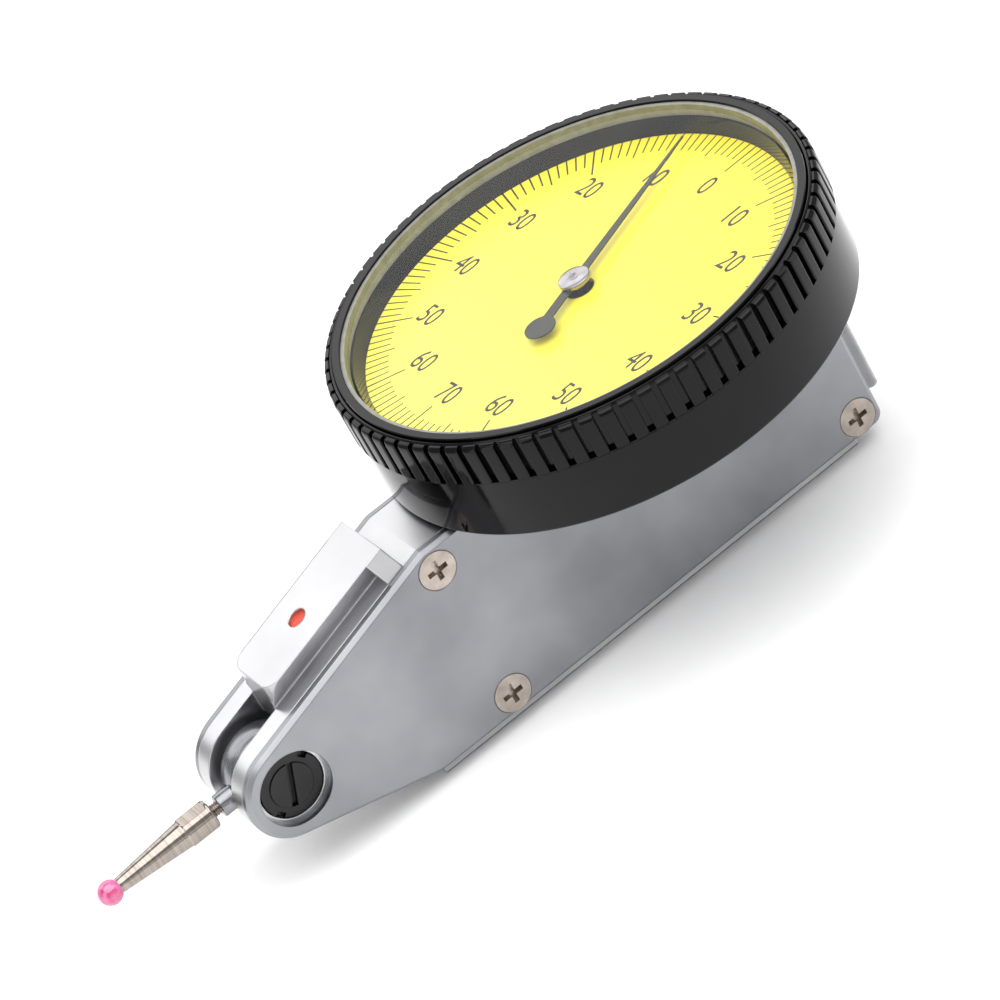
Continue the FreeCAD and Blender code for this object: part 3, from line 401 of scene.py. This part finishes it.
# Copies the given mesh in a ring about Z: Count copies, Step apart, from First.
# One in Every copies is left out where Left Out is above zero.
def ringTree():
    tree = bpy.data.node_groups.new("ringOfCopies", "GeometryNodeTree")
    face = tree.interface
    face.new_socket("Geometry", in_out="INPUT", socket_type="NodeSocketGeometry")
    face.new_socket("Count", in_out="INPUT", socket_type="NodeSocketInt")
    face.new_socket("Step", in_out="INPUT", socket_type="NodeSocketFloat")
    face.new_socket("First", in_out="INPUT", socket_type="NodeSocketFloat")
    face.new_socket("Every", in_out="INPUT", socket_type="NodeSocketFloat")
    face.new_socket("Left Out", in_out="INPUT", socket_type="NodeSocketFloat")
    face.new_socket("Material", in_out="INPUT", socket_type="NodeSocketMaterial")
    face.new_socket("Geometry", in_out="OUTPUT", socket_type="NodeSocketGeometry")
    given = addNode(tree, "NodeGroupInput").outputs
    line = addNode(tree, "GeometryNodeMeshLine", {"mode": "OFFSET", "Offset": (0, 0, 0)},
                   {"Count": given["Count"]})
    index = addNode(tree, "GeometryNodeInputIndex").outputs["Index"]
    turn = addNode(tree, "ShaderNodeMath", {"operation": "MULTIPLY_ADD"},
                   {0: index, 1: given["Step"], 2: given["First"]})
    spin = addNode(tree, "ShaderNodeCombineXYZ", None, {"Z": turn.outputs["Value"]})
    rest = addNode(tree, "ShaderNodeMath", {"operation": "MODULO"}, {0: index, 1: given["Every"]})
    kept = addNode(tree, "ShaderNodeMath", {"operation": "GREATER_THAN"},
                   {0: rest.outputs["Value"], 1: given["Left Out"]})
    copies = addNode(tree, "GeometryNodeInstanceOnPoints", None, {
        "Points": line.outputs["Mesh"], "Instance": given["Geometry"], "Rotation": spin.outputs["Vector"],
        "Selection": kept.outputs["Value"]})
    real = addNode(tree, "GeometryNodeRealizeInstances", None, {"Geometry": copies.outputs["Instances"]})
    painted = addNode(tree, "GeometryNodeSetMaterial", None,
                      {"Geometry": real.outputs["Geometry"], "Material": given["Material"]})
    addNode(tree, "NodeGroupOutput", None, {"Geometry": painted.outputs["Geometry"]})
    return tree


ringOfCopies = ringTree()


def copiedRing(name, mesh, material, count, step, first, every=1e6, leftOut=-1.0):
    thing = meshObject(name + "Seed", mesh, [material])
    modifier = thing.modifiers.new("ring", "NODES")
    modifier.node_group = ringOfCopies
    values = {"Count": count, "Step": step, "First": first, "Every": every, "Left Out": leftOut,
              "Material": material}
    for item in ringOfCopies.interface.items_tree:
        if item.in_out == "INPUT" and item.name in values:
            modifier[item.identifier] = values[item.name]
    graph = bpy.context.evaluated_depsgraph_get()
    made = bpy.data.meshes.new_from_object(thing.evaluated_get(graph))
    bpy.data.objects.remove(thing)
    return made


def joined(name, meshes, materials):
    # One mesh from several, each with its place already in its vertices.
    shape = bmesh.new()
    for mesh in meshes:
        shape.from_mesh(mesh)
    whole = bpy.data.meshes.new(name)
    shape.to_mesh(whole)
    shape.free()
    return meshObject(name, whole, materials, smooth=False)


bezelBody = bezelPiece()
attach(bezelBody, "bezel")
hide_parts("bezel_ring")
pitch = 2 * math.pi / bezel["ribs"]
ribs = copiedRing("knurl", ribMesh(), bezelGloss, bezel["ribs"], pitch, pitch / 2)
bezelKnurl = joined("bezelKnurl", [ribs], [bezelGloss])
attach(bezelKnurl, "bezel")
print("bezel made:", len(bezelKnurl.data.polygons), "faces of knurl")


scale = {"zeroTurn": 1.24, "divisions": 140, "major": 14.35, "middle": 15.15, "minor": 15.6, "outer": 17.49,
         "lineWidth": 0.13, "majorWidth": 0.15, "inkHeight": 0.012, "numberRadius": 12.7, "capHeight": 2.05,
         "digitNarrow": 0.76}


def markMesh(inner, width):
    # One printed line along +X, its edges rounded off like screened ink.
    mesh = bpy.data.meshes.new("mark")
    shape = bmesh.new()
    half = width / 2
    base = dialTop
    rows = []
    for y, z in ((-half, base), (-half * 0.7, base + scale["inkHeight"]), (half * 0.7, base + scale["inkHeight"]),
                 (half, base)):
        rows.append([shape.verts.new((inner * mm, y * mm, z * mm)),
                     shape.verts.new((scale["outer"] * mm, y * mm, z * mm))])
    for low, high in zip(rows, rows[1:]):
        shape.faces.new([low[0], low[1], high[1], high[0]])
    shape.faces.new([rows[0][0], rows[1][0], rows[2][0], rows[3][0]])
    shape.faces.new([rows[3][1], rows[2][1], rows[1][1], rows[0][1]])
    bmesh.ops.recalc_face_normals(shape, faces=shape.faces)
    if sum(f.normal.z for f in shape.faces) < 0:
        bmesh.ops.reverse_faces(shape, faces=shape.faces)
    shape.to_mesh(mesh)
    shape.free()
    return mesh


def numberMesh(text, place):
    curve = bpy.data.curves.new("number", "FONT")
    curve.body = text
    curve.size = scale["capHeight"] / 0.73 * mm
    curve.align_x = "CENTER"
    curve.extrude = scale["inkHeight"] / 2 * mm
    curve.resolution_u = 6
    curve.space_character = 0.98
    thing = bpy.data.objects.new("number", curve)
    bpy.context.scene.collection.objects.link(thing)
    graph = bpy.context.evaluated_depsgraph_get()
    mesh = bpy.data.meshes.new_from_object(thing.evaluated_get(graph))
    bpy.data.objects.remove(thing)
    mesh.transform(place)
    return mesh


def dialPrint():
    step = 2 * math.pi / scale["divisions"]
    zero = math.radians(180 + scale["zeroTurn"])
    ink = [
        copiedRing("majorMarks", markMesh(scale["major"], scale["majorWidth"]), printBlack, 14, step * 10, zero),
        copiedRing("middleMarks", markMesh(scale["middle"], scale["lineWidth"]), printBlack, 14, step * 10,
                   zero + step * 5),
        copiedRing("minorMarks", markMesh(scale["minor"], scale["lineWidth"]), printBlack, scale["divisions"],
                   step, zero, 5.0, 0.5),
    ]
    marks = joined("dialMarks", ink, [printBlack])
    numbers = []
    up = Vector((math.cos(zero), math.sin(zero), 0))
    across = Vector((up.y, -up.x, 0))
    upright = Matrix((across, up, Vector((0, 0, 1)))).transposed().to_4x4()
    narrow = Matrix.Diagonal((scale["digitNarrow"], 1, 1, 1))
    down = Matrix.Translation((0, -scale["capHeight"] / 2 * mm, 0))
    for k in range(14):
        turn = zero - 10 * step * k
        spot = Vector((math.cos(turn), math.sin(turn), 0)) * scale["numberRadius"] * mm
        spot.z = (dialTop + scale["inkHeight"] / 2) * mm
        numbers.append(numberMesh(str(10 * min(k, 14 - k)), Matrix.Translation(spot) @ upright @ narrow @ down))
    figures = joined("dialNumbers", numbers, [printBlack])
    for piece in (marks, figures):
        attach(piece, "bezel")
    print("dial printed")


dialPrint()

alongX = Matrix.Rotation(math.radians(90), 4, "Y")  # the turned shape's Z goes to +X
alongY = Matrix.Rotation(math.radians(-90), 4, "X")  # the turned shape's Z goes to +Y

stem = {"bossRadius": 0.95, "bossEnd": 4.8, "neck": 0.55, "neckLength": 0.7, "root": 1.22, "tip": 0.62,
        "reach": 15.0, "ball": 1.0, "flatFrom": 0.3, "flatTo": 2.6, "flatDepth": 0.2, "steps": 96,
        "socket": 2.6, "threadPitch": 0.18, "threadDepth": 0.09, "shoulder": 1.5, "taperRings": 12,
        "ballRings": 40, "ballSteps": 64}


def stemPiece():
    root = stem["bossEnd"] + stem["neckLength"]
    tip = stem["reach"] - math.sqrt(stem["ball"] ** 2 - stem["tip"] ** 2)
    points = [(0, stem["socket"]), (stem["neck"], stem["socket"])]
    thread = stem["bossEnd"] - 0.05
    while thread < root + 0.02:  # thread crests show in the gap behind the shoulder
        threadRoot = stem["neck"] - stem["threadDepth"]
        points += [(stem["neck"], thread), (threadRoot, thread + stem["threadPitch"] / 2)]
        thread += stem["threadPitch"]
    points += [(stem["neck"], root), (stem["root"] - 0.15, root), (stem["root"] - 0.05, root + 0.05),
               (stem["root"], root + 0.15)]
    for k in range(1, 24):
        points.append((stem["root"], root + 0.15 + k * 0.1))
    along = root + stem["flatTo"]
    start = root + stem["shoulder"]
    for k in range(stem["taperRings"] + 1):
        place = along + (tip - along) * k / stem["taperRings"]
        points.append((stem["root"] + (stem["tip"] - stem["root"]) * (place - start) / (tip - start), place))
    points.append((stem["tip"] - 0.06, tip + 0.04))
    points.append((0, tip + 0.04))
    mesh = turnedMesh("stem", points, stem["steps"], 24.0)
    low = stem["root"] - stem["flatDepth"]
    for vertex in mesh.vertices:
        at = vertex.co.z / mm
        if root + stem["flatFrom"] < at < root + stem["flatTo"] and abs(vertex.co.x) > low * mm:
            vertex.co.x = math.copysign(low * mm, vertex.co.x)
    mesh.transform(Matrix.Translation(hubCentre * mm) @ alongX)
    return meshObject("contactStem", mesh, [polishedSteel], smooth=False)


def smoothFaces(thing):
    for face in thing.data.polygons:
        face.use_smooth = True
    return thing


contactStem = smoothFaces(stemPiece())
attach(contactStem, "contact_point")
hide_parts("stylus")

ballPoints = [(0, -stem["ball"])]
for k in range(1, stem["ballRings"]):
    turn = math.pi * k / stem["ballRings"]
    ballPoints.append((stem["ball"] * math.sin(turn), -stem["ball"] * math.cos(turn)))
ballPoints.append((0, stem["ball"]))
ballMesh = turnedMesh("ball", ballPoints, stem["ballSteps"], 60.0)
ballMesh.transform(Matrix.Translation(ballCentre * mm) @ alongX)
contactBall = meshObject("contactBall", ballMesh, [ruby])
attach(contactBall, "contact_point")
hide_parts("ruby_ball")


def hubPiece():
    half = hub["width"] / 2
    rim = hub["radius"]
    edge = hub["edge"]
    disc = turnedMesh("disc", [
        (hub["bore"], -half), (rim - edge, -half), (rim - edge * 0.3, -half + edge * 0.3), (rim, -half + edge),
        (rim, half - edge), (rim - edge * 0.3, half - edge * 0.3), (rim - edge, half), (hub["bore"], half)],
        160, 60.0)
    disc.transform(Matrix.Translation(hubCentre * mm) @ alongY)
    radius = stem["bossRadius"]
    boss = turnedMesh("boss", [
        (0, 2.4), (radius, 2.4), (radius, stem["bossEnd"] - 0.12), (radius - 0.04, stem["bossEnd"] - 0.03),
        (radius - 0.12, stem["bossEnd"]), (stem["neck"], stem["bossEnd"]), (stem["neck"] - 0.1, 4.6), (0, 4.6)],
        72, 30.0)
    boss.transform(Matrix.Translation(hubCentre * mm) @ alongX)
    return smoothFaces(joined("contactHub", [disc, boss], [hubSteel]))


contactHub = hubPiece()
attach(contactHub, "contact_point")
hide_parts("contact_hub")

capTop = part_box("pointer_hub")[1].z / mm
capRadius = 1.3
capPoints = [(0, capTop - 0.62), (0.9, capTop - 0.62), (0.9, capTop - 0.32), (capRadius, capTop - 0.32),
             (capRadius, capTop - 0.12), (capRadius - 0.03, capTop - 0.05), (capRadius - 0.12, capTop),
             (0.42, capTop), (0.34, capTop - 0.02), (0.2, capTop - 0.09), (0, capTop - 0.12)]
handCap = smoothFaces(meshObject("handCap", turnedMesh("cap", capPoints, 96, 35.0), [handSteel], smooth=False))
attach(handCap, "pointer")
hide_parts("pointer_hub")
print("contact point and hand cap made")


# Studio: pale floor, one large overhead softbox, a panel behind, a strip on each side and a low front box.
def floorPiece():
    mesh = bpy.data.meshes.new("floor")
    shape = bmesh.new()
    bmesh.ops.create_grid(shape, x_segments=2, y_segments=2, size=1.5)
    bmesh.ops.translate(shape, verts=shape.verts, vec=(0, 0, cadBox[0].z - 0.00002))
    shape.to_mesh(mesh)
    shape.free()
    material, shader = newMaterial("palePaperFloor", Roughness=0.9)
    shader.inputs["Specular IOR Level"].default_value = 0.1
    at = coordinates(material)
    fibre = addNode(material, "ShaderNodeTexNoise", {"Scale": 1 / (3 * mm), "Detail": 3.0}, {"Vector": at})
    white = ramp(material, fibre.outputs["Fac"], [(0.3, "F8F8F8"), (0.7, "FBFBFB")])
    link(material, white, shader.inputs["Base Color"])
    floor = meshObject("floor", mesh, [material], smooth=False)


def softbox(name, place, aim, width, height, radiance):
    data = bpy.data.lights.new(name, "AREA")
    data.shape = "RECTANGLE"
    data.size = width
    data.size_y = height
    data.energy = radiance * math.pi * width * height
    lamp = bpy.data.objects.new(name, data)
    bpy.context.scene.collection.objects.link(lamp)
    lamp.location = place
    lamp.rotation_mode = "QUATERNION"
    lamp.rotation_quaternion = (Vector(aim) - Vector(place)).to_track_quat("-Z", "Y")


studio = {"world": 0.5, "top": 2.6, "back": 1.5, "left": 1.6, "right": 1.4, "front": 0.5}
floorPiece()
world = bpy.data.worlds.new("studioWorld")
world.use_nodes = True
world.node_tree.nodes["Background"].inputs["Color"].default_value = (1, 1, 1, 1)
world.node_tree.nodes["Background"].inputs["Strength"].default_value = studio["world"]
bpy.context.scene.world = world
softbox("topBox", (0.0, 0.12, 0.5), (0.01, 0, 0), 0.8, 0.6, studio["top"])
softbox("backPanel", (0.0, -0.62, 0.42), (0.02, 0, 0.01), 1.0, 0.5, studio["back"])
softbox("leftStrip", (-0.45, 0.15, 0.2), (0, 0, 0.01), 0.2, 0.5, studio["left"])
softbox("rightStrip", (0.5, 0.1, 0.22), (0.02, 0, 0.01), 0.2, 0.5, studio["right"])
softbox("frontBox", (0.0, 0.6, 0.12), (0.01, 0, 0.01), 0.6, 0.18, studio["front"])

camera = {"place": (0.105721, 0.342304, 0.244496), "target": (0.013956, 0.002227, 0.015789), "lens": 204.889,
          "roll": -29.943}
lens = bpy.data.cameras.new("studioCamera")
lens.lens = camera["lens"]
lens.sensor_width = 36.0
lens.clip_start = 0.01
lens.clip_end = 10.0
shooter = bpy.data.objects.new("studioCamera", lens)
bpy.context.scene.collection.objects.link(shooter)
shooter.location = camera["place"]
shooter.rotation_mode = "QUATERNION"
aim = (Vector(camera["target"]) - Vector(camera["place"])).to_track_quat("-Z", "Y")
shooter.rotation_quaternion = aim @ Quaternion((0, 0, 1), math.radians(camera["roll"]))
bpy.context.scene.camera = shooter
bpy.context.scene.view_settings.view_transform = "Standard"
print("studio and camera set")
